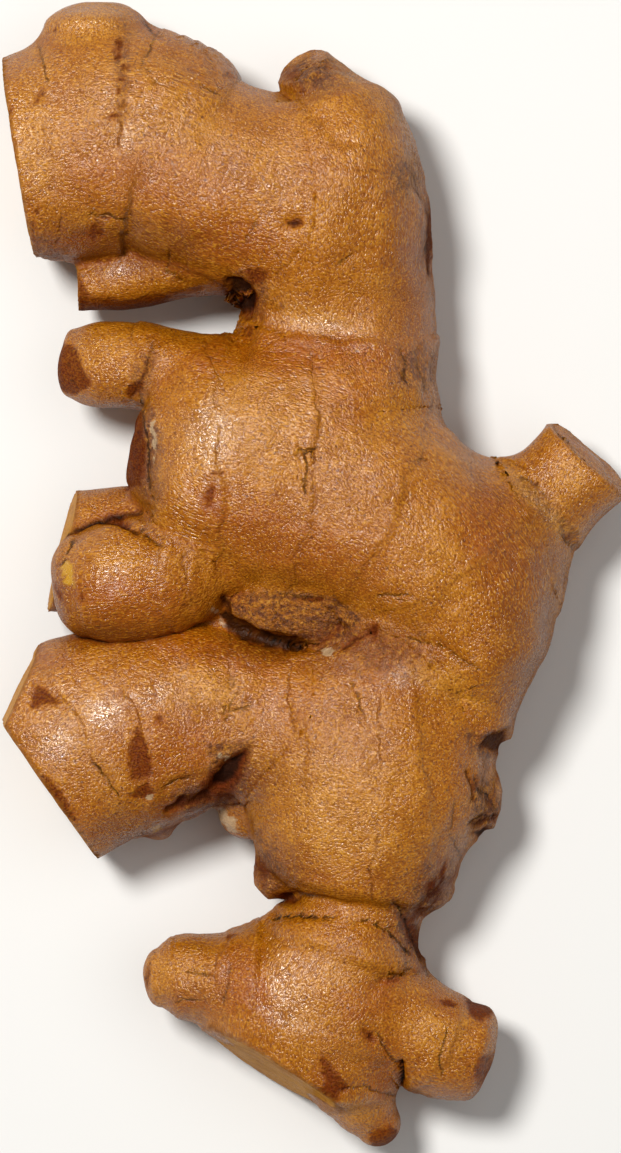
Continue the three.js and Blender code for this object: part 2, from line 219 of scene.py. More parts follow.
        ("scar", 1, (-41.8, -31.2), (-40.2, -31.8), (-38.2, -34.2), (-36, -38.4), (-38.2, -37.4),
         (-40.6, -34.6)),
        ("scar", 1, (-41, 37), (-37.6, 36.2), (-36, 33.6), (-34.2, 29.4), (-37, 28.4), (-41, 30)),
        ("scar", 0.85, (-38, 47.6), (-36.2, 47), (-34.8, 43.6), (-35.6, 41), (-38, 41)),
        ("scar", 0.75, (-36, 43.4), (-29, 43.3), (-22, 44.8), (-22, 43), (-30, 40.8), (-37, 40.6)),
        ("scar", 0.9, (1.2, -74.4), (3, -75.8), (4.6, -78), (6, -79.8), (4.2, -80.6), (3.2, -83),
         (0.4, -81.8), (0.2, -79.6), (2.4, -79), (1.6, -77)),
        ("scar", 0.8, (9.4, -87.2), (12.6, -86.2), (14.4, -88), (13, -91), (9, -90.4)),
        ("scar", 0.9, (24, -66.6), (27, -66.6), (28.8, -68.8), (26.6, -69.6), (24.6, -69)),
        ("scar", 0.6, (25.4, -75.2), (28.6, -74.4), (29.4, -79.6), (26, -80.6)),
        ("scar", 0.9, (-10, 47.7), (-6.6, 47.5), (-6.2, 46), (-9.4, 45.2)),
        ("scar", 0.9, (-29, 26), (-26.6, 25.8), (-25.8, 20), (-26.2, 14), (-29, 13.4), (-29.6, 19)),
        ("scar", 0.8, (-33.6, 9.6), (-30, 10), (-27.2, 7.6), (-30, 8)),
        ("scar", 0.8, (-15.2, 14.8), (-14.4, 14), (-15.2, 11), (-16.6, 10.4), (-16.2, 12.6)),
        ("hole", 0.9, (-13.6, 46.4), (-10.6, 46.2), (-8.8, 43.8), (-9.4, 40.6), (-12, 40.6), (-12.6, 43)),
        ("hole", 0.9, (-9.8, -27), (-12.4, -28.6), (-15.6, -31.6), (-15.8, -33.4), (-13.4, -33.4),
         (-11.6, -31.6)),
        ("scar", 0.7, (-9, -25.8), (-13, -27.8), (-17.4, -31.4), (-17.4, -34.4), (-12.6, -35),
         (-10.4, -31)),
        ("hole", 0.9, (-13.6, -5.2), (-12, -7.2), (-8.6, -8.8), (-4, -9.9), (-0.6, -10.7), (-0.8, -12),
         (-5, -11.5), (-9.4, -10.4), (-13, -8.6), (-14.6, -6)),
        ("hole", 0.8, (27.2, -25), (31, -24.2), (30.8, -27.4), (28.4, -28), (26.4, -26.4)),
        ("hole", 0.9, (25.4, -40.2), (27.8, -39.4), (28.8, -41), (26.6, -42.2)),
        ("rough", 1, (-16, -26), (-9, -25.4), (-9.6, -31), (-12, -36), (-20, -36.6), (-22, -34),
         (-16, -31)),
        ("rough", 1, (12, -50), (15.4, -52), (17.6, -57), (19.4, -62.5), (17, -62), (13.6, -56)),
        ("scar", 0.7, (14, -52.4), (16.6, -55), (18.4, -60.8), (16.6, -60), (14.6, -56)),
        ("rough", 0.9, (23.6, -24), (30.6, -23.6), (30.6, -28.6), (25, -28.4)),
        ("rough", 1, (-14, -3.4), (-8, -2.2), (4, -3), (8, -6), (7, -10), (-2, -10.6), (-9, -8.4),
         (-12.8, -6)), ("paper", 0.7, (-15, -27.2), (-12.6, -27.9), (-12.4, -28.8), (-14.6, -28.6)),
    ),
    # marks seen from above: what they are, centre, radii, turn and strength
    "marks": (
        ("scar", (-29.7, 82.6), (0.9, 1.1), 0, 1), ("scar", (-30, 80.6), (0.8, 0.5), 20, 0.9),
        ("scar", (-28.7, 78.6), (0.7, 0.6), 0, 0.7), ("scar", (-29.5, 76.8), (0.6, 0.5), 0, 0.6),
        ("scar", (-29.8, 74.8), (0.5, 0.9), 0, 0.7), ("scar", (-28.8, 72.8), (0.6, 0.5), 0, 0.6),
        ("scar", (-30.4, 71), (1, 0.7), 30, 0.8), ("rough", (-29.2, 77), (1.4, 8), 0, 0.7),
        ("scar", (-42.4, 73.8), (0.7, 1.9), -30, 0.6), ("scar", (-33.4, 53.4), (1.7, 1.2), 40, 0.75),
        ("scar", (-31.6, 55.2), (1.6, 0.5), 0, 0.6), ("scar", (-43.2, 54), (0.5, 3.6), 8, 0.6),
        ("scar", (-42.2, 56.6), (0.5, 1.4), -15, 0.7), ("rough", (-41.5, 50.5), (3, 2.6), 0, 0.6),
        ("scar", (-20, 44.6), (6, 0.6), 12, 0.5), ("scar", (-9.6, 42.6), (2.2, 3), 20, 0.8),
        ("rough", (-9.8, 43.4), (4.4, 3.8), 0, 1), ("rough", (0, 78.4), (5, 3.4), -10, 1),
        ("scar", (-3.4, 78.2), (1.6, 1.4), 0, 0.45), ("scar", (-1.6, 75.6), (2.2, 0.7), -35, 0.5),
        ("scar", (3.4, 79.6), (1.6, 0.7), -20, 0.4), ("scar", (-27.6, 28.7), (1.9, 1), 35, 0.9),
        ("rough", (-26, 32), (1.6, 4), -25, 0.9), ("scar", (-25.8, 31.4), (0.5, 2.8), -28, 0.5),
        ("rough", (-25.8, 20), (2.3, 7.6), 0, 1), ("paper", (-24.6, 22), (0.5, 3.6), 5, 0.75),
        ("scar", (-16, 12), (1.4, 0.4), 5, 0.7), ("scar", (-14.4, 15.8), (1.4, 0.35), 10, 0.7),
        ("rusty", (-15.4, 12.6), (1.7, 3.6), -14, 0.9), ("rusty", (-24.5, -31), (2.4, 3), 0, 0.7),
        ("rusty", (-23.2, -36), (3.6, 2), 10, 0.9), ("scar", (-23.6, -22.4), (0.7, 0.9), 20, 0.7),
        ("scar", (-24.2, -18.6), (0.8, 0.5), 50, 0.5), ("scar", (-20.2, -35.3), (0.6, 0.6), 0, 1),
        ("scar", (9.8, -8.6), (0.9, 1.3), 10, 0.9), ("rough", (11, -12), (9, 5), -10, 0.6),
        ("rusty", (12, -12.4), (10, 5), -10, 0.7), ("paper", (2.6, -12), (1.3, 0.7), -12, 0.9),
        ("rough", (2, -10), (4, 2), -10, 1), ("scar", (12.4, -14), (0.7, 0.5), 0, 0.8),
        ("rough", (28, -36), (3.2, 6), 12, 1), ("scar", (28.6, -38.2), (1.6, 0.8), 20, 0.7),
        ("scar", (25.7, -32.8), (0.7, 1.4), 0, 0.6), ("scar", (18.8, -49), (2, 1.8), 0, 0.85),
        ("rough", (19, -49.6), (3.4, 4.6), -10, 1), ("scar", (20.6, -46.4), (0.7, 2.4), -10, 0.8),
        ("scar", (16.8, -52.6), (1, 1.6), -30, 0.8), ("scar", (-7.8, -46.4), (1, 2.4), 5, 0.65),
        ("rough", (-7, -45.4), (2.6, 5), 10, 0.9), ("scar", (-4, -50.6), (2.4, 0.8), -12, 0.85),
        ("rusty", (1.4, -47), (1.6, 1), -20, 0.9), ("scar", (2.3, -47.2), (0.5, 0.6), 0, 0.5),
        ("rusty", (10, -46.8), (1.2, 0.7), 0, 0.9), ("scar", (2.5, -56), (0.4, 0.4), 0, 1),
        ("scar", (12.4, -63), (2.2, 0.6), 15, 0.7), ("rusty", (12, -63.6), (3, 1.4), 15, 1),
        ("scar", (9, -71.6), (0.6, 1.1), 40, 0.9), ("rusty", (6.4, -68.7), (2, 1), 30, 0.8),
        ("scar", (1.8, -75.4), (0.7, 1.3), 10, 0.5), ("scar", (3, -77.8), (0.8, 1.4), 25, 0.7),
        ("rusty", (2.6, -79), (2.6, 3.6), 20, 0.9), ("rusty", (11.8, -86.6), (2.2, 2.6), 0, 0.8),
        ("scar", (-25.7, -62.4), (0.6, 2.6), -12, 0.8), ("rusty", (-19, -67.4), (3.4, 1.8), -10, 0.9),
        ("scar", (-12.8, -56.6), (1.2, 0.4), 0, 0.7), ("scar", (21.2, -67.1), (1.2, 0.45), -10, 0.9),
        ("rusty", (21, -67.6), (3.6, 1.6), -15, 0.9), ("rusty", (26.6, -68.4), (2, 1.6), 0, 0.8),
        ("rusty", (26.6, -77.6), (1.8, 2.8), -5, 0.8), ("scar", (35, 14.6), (0.8, 0.5), -20, 0.8),
        ("scar", (40.4, 5.8), (1.1, 0.9), 30, 0.6), ("rusty", (42.6, 20.6), (3.6, 0.8), -42, 0.8),
        ("rusty", (40, 11.8), (2, 1.4), 40, 0.5), ("rough", (16, 32), (3.6, 3.4), -20, 0.9),
        ("rough", (14.4, 62), (3.8, 3), 20, 0.8), ("scar", (18.4, 53), (0.5, 6), 2, 0.8),
        ("rough", (18, 53), (1.2, 8), 0, 0.7), ("scar", (-2.4, 54.5), (1.3, 0.6), 0, 0.95),
        ("flesh", (-37.9, 0.2), (1.2, 2), 14, 1), ("flesh", (-24.2, -39.5), (0.9, 0.7), 0, 0.9),
        ("paper", (-25.2, -34.4), (0.7, 0.3), 15, 0.5), ("scar", (-35.4, -3.4), (0.5, 1), 0, 0.7),
        ("rusty", (-34, -2), (3.4, 2.4), 0, 0.7), ("scar", (-39.3, -2.6), (0.5, 1.8), 30, 0.8),
        ("rough", (36.2, 11), (1.4, 6), 45, 0.7), ("paper", (-13.6, -38.4), (3, 1.3), -35, 0.8),
        ("paper", (-15.2, -5), (0.8, 0.5), -40, 0.7), ("paper", (-13.8, -7.4), (0.4, 1.4), 30, 0.6),
        ("rusty", (0, -9), (4, 1.4), -10, 0.8), ("scar", (0.6, -3.6), (2.6, 0.4), 0, 0.8),
        ("scar", (-12.8, 77.6), (0.9, 0.8), 0, 0.5), ("rusty", (-25, 85.4), (2.4, 1), -30, 0.9),
        ("scar", (-40, 84.8), (0.9, 0.4), 0, 0.7), ("scar", (-47, 71.6), (0.5, 0.9), 0, 0.7),
        ("rusty", (-36.6, 51), (5, 2), 0, 0.8), ("rusty", (-42, -13), (5, 1.4), -10, 0.9),
    ),
    # broad patches of colour and gloss: which, centre, radii, turn and strength. The pale ones are partly
    # painted highlight on lit places and on the saddle below the upper trunk. The warm and dark ones are
    # partly painted shade in the valleys between lobes and down the right-hand sides. The rest of their
    # colour is tone that differs at random; gloss changes only the shine
    "tonesGlossAndPaintedLight": (
        ("pale", (3, 38.6), (8.5, 2.6), -14, 1), ("pale", (5, 37), (6, 1.1), -14, 1),
        ("dark", (-9, -12), (7, 2), -8, 0.7), ("dark", (2, -13.5), (5, 2), -8, 0.5),
        ("pale", (-12, 22), (11, 10), 0, 0.7), ("pale", (6, -36), (11, 9), 0, 0.9),
        ("pale", (-1, -65), (7, 8), 20, 0.6), ("pale", (-43, 66), (4.5, 12), 0, 0.7),
        ("pale", (-34.5, 86), (7, 4), 0, 0.7), ("pale", (6, 70), (12, 7), -30, 0.7),
        ("pale", (19, 2), (7, 6), 0, 0.6), ("pale", (-36, -22), (6, 5), 0, 0.5),
        ("pale", (19, -71), (5, 5), 0, 0.5), ("pale", (-33, 36), (5, 4), 0, 0.5),
        ("pale", (-30, 2), (5, 4), 0, 0.5), ("pale", (8, -84), (4, 3.5), 0, 0.5),
        ("pale", (-21, -62), (5, 4), 0, 0.5), ("pale", (-15, -17), (7, 4), 0, 0.8),
        ("pale", (-25, 72), (16, 7), -20, 0.5), ("pale", (40, 15), (5, 4), 40, 0.5),
        ("pale", (0, 60), (10, 6), -30, 0.4), ("pale", (8, 26), (10, 8), 0, 0.4),
        ("pale", (20, -16), (8, 2.4), -30, 0.8), ("warm", (-2, 34.5), (18, 3.6), 0, 1),
        ("warm", (-14, -11), (13, 3.5), -8, 1), ("warm", (-26, -4.5), (12, 5), 0, 0.9),
        ("warm", (-25, 60), (20, 6), 0, 0.5), ("warm", (-10, -64), (4, 7), 20, 1),
        ("warm", (11, -76), (4, 6), 0, 0.8), ("warm", (-5, 6), (16, 5), -20, 1),
        ("warm", (28, 6), (6, 9), 20, 0.8), ("warm", (8, -66), (6, 3), 0, 0.7),
        ("warm", (-34, -38), (6, 3), -20, 0.6), ("warm", (-20, -27), (6, 5), 0, 0.9),
        ("warm", (17, 44), (4, 14), 0, 0.7), ("warm", (6, 30), (5, 10), -10, 0.5),
        ("warm", (-12, 52), (8, 4), 0, 0.8), ("dark", (-30, 50.5), (17, 4.4), 0, 0.75),
        ("dark", (33, -8), (6, 22), 0, 0.5), ("dark", (15, 52), (4, 22), 0, 0.3),
        ("dark", (20, -47), (5, 6), 0, 0.7), ("dark", (-15, -34), (11, 4), 25, 0.9),
        ("dark", (-5, -47), (6, 4), 0, 0.6), ("dark", (35, 0), (5, 12), 20, 0.4),
        ("dark", (-26, 16), (3, 9), 0, 0.6), ("dark", (15, -56), (3, 7), 20, 0.7),
        ("dark", (0, 77.5), (6, 4), -10, 0.6), ("dark", (7, -10.5), (8, 3), -10, 0.7),
        ("dark", (-33, -9.5), (10, 2), 0, 0.8), ("dark", (-27, -40), (7, 3), 0, 0.5),
        ("dark", (-39, -3), (2.4, 6), 0, 0.6), ("pale", (35.4, 11.8), (7.5, 1.5), -50, 1),
        ("gloss", (34.6, 12), (6, 1.2), -50, 0.7), ("gloss", (-15.6, 22), (4, 5.5), -20, 1),
        ("gloss", (-31.8, -21.4), (3, 2.4), 10, 1), ("gloss", (-39.4, -26.6), (2.4, 2.6), 0, 1),
        ("gloss", (-25, -18.6), (3.2, 1.8), 20, 0.9), ("gloss", (13.6, -15.4), (3, 1.8), -30, 1),
        ("gloss", (4, 37.6), (8, 2), -14, 0.7), ("gloss", (-4, -66), (4, 4.6), 40, 0.7),
        ("gloss", (-1.6, 42), (3, 1.6), -20, 0.8), ("gloss", (-30.6, 47.6), (1.6, 1.2), 0, 0.9),
        ("gloss", (-28.6, 67.6), (2, 2.6), 0, 0.6), ("gloss", (9.4, -81.8), (1.6, 1), 0, 0.8),
        ("gloss", (-34, 87), (5, 2), 0, 0.5),
    ),
    # root scars on the sides and underneath
    "underMarks": {"seed": 11, "count": 46, "radius": (0.9, 2.4), "rim": 0.22, "pit": 0.3},
}

# lengths in millimetres; seen is the long side of what the camera takes in
camera = {"lens": 200, "sensor": 36, "aim": (-0.1, -0.15, 17), "seen": 180.9}
# lights and floor are in metres and watts; a light that doesn't gleam is left out of reflections
lights = {
    "key": {"size": 0.26, "power": 12.8, "from": (-0.31, 0.27, 1.02), "tint": (1, 0.98, 0.94),
            "gleams": True},
    "top": {"size": 1.2, "power": 3.9, "from": (0.45, 0.05, 1.2), "tint": (1, 0.99, 0.97), "gleams": False},
    "world": {"tint": (1, 0.98, 0.95), "strength": 0.14},
}
floor = {"size": 3.0, "tint": (0.76, 0.76, 0.755), "roughness": 0.8}


def deselectAll():
    if bpy.context.object and bpy.context.object.mode != "OBJECT":
        bpy.ops.object.mode_set(mode="OBJECT")
    bpy.ops.object.select_all(action="DESELECT")


# a smooth curve through the stations, the same in every column
def smoothPath(stations, perSpan):
    rows = np.array(stations, float)
    rows = np.vstack([2 * rows[0] - rows[1], rows, 2 * rows[-1] - rows[-2]])
    path = []
    for i in range(len(rows) - 3):
        a, b, c, d = rows[i:i + 4]
        for t in np.linspace(0, 1, perSpan, endpoint=False):
            path.append(0.5 * (2 * b + (c - a) * t + (2 * a - 5 * b + 4 * c - d) * t ** 2
                               + (3 * b - a - 3 * c + d) * t ** 3))
    path.append(rows[-2])
    return np.array(path)


def headings(path):
    ahead = np.gradient(path[:, :2], axis=0)
    return np.degrees(np.arctan2(-ahead[:, 0], ahead[:, 1]))    # 0 faces +Y


# One lobe by hand: a ring is drawn at the first station, then extruded, scaled and turned
# along the path, capped at both ends, and sliced where the knife went.
def modelLobe(name, lobe):
    stations = [(x, y, w, z - gingerRoot["pressedFlat"], h) for x, y, w, z, h in lobe["stations"]]
    path = smoothPath(stations, 3)
    turns = headings(path)
    rings = [(x, y, z, w, h, turn) for (x, y, w, z, h), turn in zip(path, turns)]
    for end, reach, sign in ((0, lobe["dome"][0], -1), (-1, lobe["dome"][1], 1)):
        x, y, z, w, h, turn = rings[end]
        forward = (-math.sin(math.radians(turn)), math.cos(math.radians(turn)))
        if reach:
            for lift in (35, 62, 82):    # rounds the end over
                out = sign * reach * math.sin(math.radians(lift))
                shrink = math.cos(math.radians(lift))
                ring = (x + forward[0] * out, y + forward[1] * out, z, w * shrink, h * shrink, turn)
                rings = [ring] + rings if sign < 0 else rings + [ring]

    x, y, z, w, h, turn = rings[0]
    deselectAll()
    bpy.ops.mesh.primitive_circle_add(vertices=28, radius=1 * mm, fill_type="NOTHING",
                                      location=(0, 0, 0), rotation=(math.pi / 2, 0, 0))
    piece = bpy.context.object
    piece.name = name
    bpy.ops.object.transform_apply(location=True, rotation=True, scale=True)
    bpy.ops.object.mode_set(mode="EDIT")
    bpy.ops.mesh.select_all(action="SELECT")
    bpy.ops.transform.resize(value=(w, 1, h), center_override=(0, 0, 0))
    turnRing(turn, (0, 0, 0))
    bpy.ops.transform.translate(value=(x * mm, y * mm, z * mm))
    for here, there in zip(rings, rings[1:]):
        step = tuple((b - a) * mm for a, b in zip(here[:3], there[:3]))
        middle = tuple(v * mm for v in there[:3])
        bpy.ops.mesh.extrude_region_move(TRANSFORM_OT_translate={"value": step})
        turnRing(-here[5], middle)
        bpy.ops.transform.resize(value=(there[3] / here[3], 1, there[4] / here[4]), center_override=middle)
        turnRing(there[5], middle)
    bpy.ops.mesh.select_all(action="SELECT")
    bpy.ops.mesh.fill_holes(sides=0)
    for cut in lobe.get("cuts", ()):
        bpy.ops.mesh.select_all(action="SELECT")
        bpy.ops.mesh.bisect(plane_co=tuple(v * mm for v in cut["at"]), plane_no=cutNormal(cut),
                            use_fill=True, clear_outer=True)
    bpy.ops.mesh.select_all(action="SELECT")
    bpy.ops.mesh.normals_make_consistent(inside=False)
    bpy.ops.object.mode_set(mode="OBJECT")
    return piece


def turnRing(angle, middle):    # with no window a turn runs the other way round
    bpy.ops.transform.rotate(value=-math.radians(angle), orient_axis="Z", orient_type="GLOBAL",
                             center_override=middle)


def cutNormal(cut):
    faces, lean = math.radians(cut["faces"]), math.radians(cut["lean"])
    return (math.cos(faces) * math.cos(lean), math.sin(faces) * math.cos(lean), math.sin(lean))


def joinLobes():
    pieces = [modelLobe(name, lobe) for name, lobe in gingerRoot["lobes"].items()]
    deselectAll()
    for piece in pieces:
        piece.select_set(True)
    bpy.context.view_layer.objects.active = pieces[0]
    bpy.ops.object.join()
    root = bpy.context.object
    root.name = "gingerRoot"
    remesh = root.modifiers.new("skin", "REMESH")
    remesh.mode = "VOXEL"
    remesh.voxel_size = gingerRoot["voxel"] * mm
    remesh.use_smooth_shade = True
    bpy.ops.object.modifier_apply(modifier=remesh.name)
    print("lobes joined:", len(root.data.polygons), "faces")
    return root


# The lobes' own measure, used to blend them softly and to place marks along them.
def prepareLobes():
    ready = []
    for name, lobe in gingerRoot["lobes"].items():
        stations = [(x, y, w, z - gingerRoot["pressedFlat"], h) for x, y, w, z, h in lobe["stations"]]
        path = smoothPath(stations, 40)
        centre = path[:, [0, 1, 3]]
        lengths = np.concatenate([[0], np.cumsum(np.linalg.norm(np.diff(centre, axis=0), axis=1))])
        count = max(8, int(lengths[-1] / 0.8))
        even = np.linspace(0, lengths[-1], count)
        centre = np.stack([np.interp(even, lengths, centre[:, i]) for i in range(3)], 1)
        ahead = np.gradient(centre, axis=0)
        ahead /= np.linalg.norm(ahead, axis=1)[:, None]
        side = np.cross(ahead, (0, 0, 1.0))
        side /= np.linalg.norm(side, axis=1)[:, None]
        reach = path[:, [2, 4]].max() + 9    # no point farther than this is measured
        ready.append({
            "name": name, "centre": centre, "ahead": ahead, "side": side, "up": np.cross(side, ahead),
            "spacing": even[1], "width": np.interp(even, lengths, path[:, 2]),
            "height": np.interp(even, lengths, path[:, 4]), "dome": [max(d, 1) for d in lobe["dome"]],
            "low": centre.min(0) - reach, "high": centre.max(0) + reach,
            "cuts": [(np.array(c["at"], float), np.array(cutNormal(c))) for c in lobe.get("cuts", ())],
            "grainTurn": lobe.get("grainTurn"),
        })
    return ready


# how far each point is outside a lobe, and where it is along, across and above the spine
def measureLobe(lobe, points):
    centre, last = lobe["centre"], len(lobe["centre"]) - 1
    apart = (points ** 2).sum(1)[:, None] - 2 * points @ centre.T + (centre ** 2).sum(1)[None]
    near = apart.argmin(1)
    off = points - centre[near]
    ahead = (off * lobe["ahead"][near]).sum(1)
    across = (off * lobe["side"][near]).sum(1)
    upward = (off * lobe["up"][near]).sum(1)
    place = np.clip(near + ahead / lobe["spacing"], 0, last)
    width = np.interp(place, np.arange(last + 1), lobe["width"])
    height = np.interp(place, np.arange(last + 1), lobe["height"])
    power = gingerRoot["boxiness"]
    section = ((np.abs(across) / width) ** power + (np.abs(upward) / height) ** power) ** (1 / power)
    pastStart = np.where(near == 0, np.maximum(-ahead, 0), 0)
    pastEnd = np.where(near == last, np.maximum(ahead, 0), 0)
    beyond = pastStart / lobe["dome"][0] + pastEnd / lobe["dome"][1]
    shape = np.maximum(np.sqrt(section ** 2 + beyond ** 2), 1e-3)
    reach = np.sqrt(across ** 2 + upward ** 2 + (pastStart + pastEnd) ** 2)
    outside = reach - reach / shape
    for at, facing in lobe["cuts"]:
        outside = np.maximum(outside, (points - at) @ facing)
    along = near * lobe["spacing"] + ahead
    return outside, along, across, upward


def joinSoftness(lobes):
    blends = [gingerRoot["lobes"][lobe["name"]]["blend"] for lobe in lobes]
    table = np.minimum.outer(blends, blends).astype(float)
    names = [lobe["name"] for lobe in lobes]
    for (one, other), soft in gingerRoot["joins"].items():
        i, j = names.index(one), names.index(other)
        table[i, j] = table[j, i] = soft
    return table


# the softly joined skin: its distance, which lobe owns a point, and how deep in a crease it is, which later
# sets the painted shade between lobes
def measureWhole(lobes, softness, points):
    outside = np.full((len(points), len(lobes)), 99.0)
    for i, lobe in enumerate(lobes):
        near = np.all((points > lobe["low"]) & (points < lobe["high"]), axis=1)
        outside[near, i] = measureLobe(lobe, points[near])[0]
    order = np.argsort(outside, axis=1)[:, :3]
    rows = np.arange(len(points))
    first, second, third = (outside[rows, order[:, i]] for i in range(3))
    softA = softness[order[:, 0], order[:, 1]]
    softB = softness[order[:, 0], order[:, 2]]
    skin = first - np.maximum(softA - (second - first), 0) ** 2 / (4 * softA) \
        - 0.5 * np.maximum(softB - (third - first), 0) ** 2 / (4 * softB)
    sharp = np.clip(1.6 / (softA + 0.8), 0, 1)
    creaseShade = np.exp(-(second - first) / 1.3) * sharp
    table = -points[:, 2]    # the table takes what would be below it
    edge = 1.0
    skin = np.maximum(skin, table) + np.maximum(edge - np.abs(skin - table), 0) ** 2 / (4 * edge)
    return skin, order[:, 0], creaseShade, outside


# soft random hills between -1 and 1, the same on every run
def softNoise(points, size, seed):
    table = np.random.default_rng(seed).uniform(-1, 1, (32, 32, 32))
    place = points / size + 500.37
    cell = np.floor(place).astype(int)
    part = place - cell
    part = part * part * part * (part * (part * 6 - 15) + 10)
    total = np.zeros(len(points))
    for i in (0, 1):
        for j in (0, 1):
            for k in (0, 1):
                weight = ((part[:, 0] if i else 1 - part[:, 0]) * (part[:, 1] if j else 1 - part[:, 1])
                          * (part[:, 2] if k else 1 - part[:, 2]))
                total += weight * table[(cell[:, 0] + i) % 32, (cell[:, 1] + j) % 32, (cell[:, 2] + k) % 32]
    return total


# how far to the side of a drawn line each point is, fading out past its ends
def measureCrack(points, path):
    path = np.array(path, float)
    away, nearest, fade = np.full(len(points), 9.0), np.full(len(points), 99.0), np.zeros(len(points))
    for start, stop in zip(path, path[1:]):
        run = stop - start
        length = np.hypot(*run)
        run = run / length
        off = points[:, :2] - start
        along = off @ run
        side = off[:, 0] * -run[1] + off[:, 1] * run[0]
        past = np.maximum(np.maximum(-along, along - length), 0)
        distance = np.hypot(side, past)
        closer = distance < nearest
        nearest[closer] = distance[closer]
        away[closer] = side[closer]
        fade[closer] = np.exp(-(past[closer] / 0.6) ** 2)
    return away, fade


def readPoints(mesh):
    points = np.empty(len(mesh.vertices) * 3)
    mesh.vertices.foreach_get("co", points)
    return points.reshape(-1, 3) / mm


def readNormals(mesh):
    normals = np.empty(len(mesh.vertices) * 3, dtype=np.float32)
    mesh.vertex_normals.foreach_get("vector", normals)
    return normals.reshape(-1, 3).astype(float)


def writePoints(mesh, points):
    mesh.vertices.foreach_set("co", (points * mm).ravel())
    mesh.update()


def storeMask(mesh, name, values):
    attribute = mesh.attributes.new(name, "FLOAT", "POINT")
    attribute.data.foreach_set("value", values.astype(np.float32))


# Where each corner is along, across and above its lobe's own spine. A face keeps to one lobe,
# so the grain never smears where two lobes meet.
def storeGrain(mesh, lobes, owner, points):
    corners = np.empty(len(mesh.loops), dtype=np.int32)
    mesh.loops.foreach_get("vertex_index", corners)
    starts, totals = (np.empty(len(mesh.polygons), dtype=np.int32) for i in range(2))
    mesh.polygons.foreach_get("loop_start", starts)
    mesh.polygons.foreach_get("loop_total", totals)
    faceOwner = owner[corners[starts]]
    cornerOwner = np.repeat(faceOwner, totals)
    place = np.zeros((len(corners), 3))
    for i, lobe in enumerate(lobes):
        mine = cornerOwner == i
        if not mine.any():
            continue
        used, back = np.unique(corners[mine], return_inverse=True)
        along, across, upward = measureLobe(lobe, points[used])[1:]
        if lobe["grainTurn"] is not None:    # this lobe's grain runs straight across it
            angle = math.radians(lobe["grainTurn"])
            x, y = points[used, 0], points[used, 1]
            along = x * math.cos(angle) + y * math.sin(angle)
            across = -x * math.sin(angle) + y * math.cos(angle)
        place[mine] = np.stack([along, across + i * 7.3, upward], 1)[back]
    grain = mesh.attributes.new("grainPlace", "FLOAT_VECTOR", "CORNER")
    grain.data.foreach_set("vector", (place * mm).astype(np.float32).ravel())


# an oval mark with a ragged edge: 1 in the middle, 0 outside
def ovalMask(points, centre, radii, turn, ragged, seed):
    angle = math.radians(turn)
    dx, dy = points[:, 0] - centre[0], points[:, 1] - centre[1]
    u = (dx * math.cos(angle) + dy * math.sin(angle)) / radii[0]
    v = (-dx * math.sin(angle) + dy * math.cos(angle)) / radii[1]
    away = np.sqrt(u * u + v * v)
    if ragged:
        away = away + ragged * softNoise(points, 0.9, seed) + 0.6 * ragged * softNoise(points, 2.2, seed + 1)
    return np.clip(1.5 - away, 0, 1) ** 1.5 * (away < 1.5)


# a many-sided mark with a slightly ragged edge: 1 inside, 0 outside
def patchMask(points, corners, seed):
    x, y = points[:, 0], points[:, 1]
    inside, nearest = np.zeros(len(points), bool), np.full(len(points), 99.0)
    for (ax, ay), (bx, by) in zip(corners, corners[1:] + corners[:1]):
        length2 = (bx - ax) ** 2 + (by - ay) ** 2
        along = np.clip(((x - ax) * (bx - ax) + (y - ay) * (by - ay)) / length2, 0, 1)
        nearest = np.minimum(nearest, np.hypot(x - ax - along * (bx - ax), y - ay - along * (by - ay)))
        if ay != by:
            inside ^= ((ay > y) != (by > y)) & (x < (bx - ax) * (y - ay) / (by - ay) + ax)
    away = np.where(inside, nearest, -nearest) + 0.3 * softNoise(points, 1.1, seed)
    return np.clip(0.5 + away / 0.9, 0, 1)


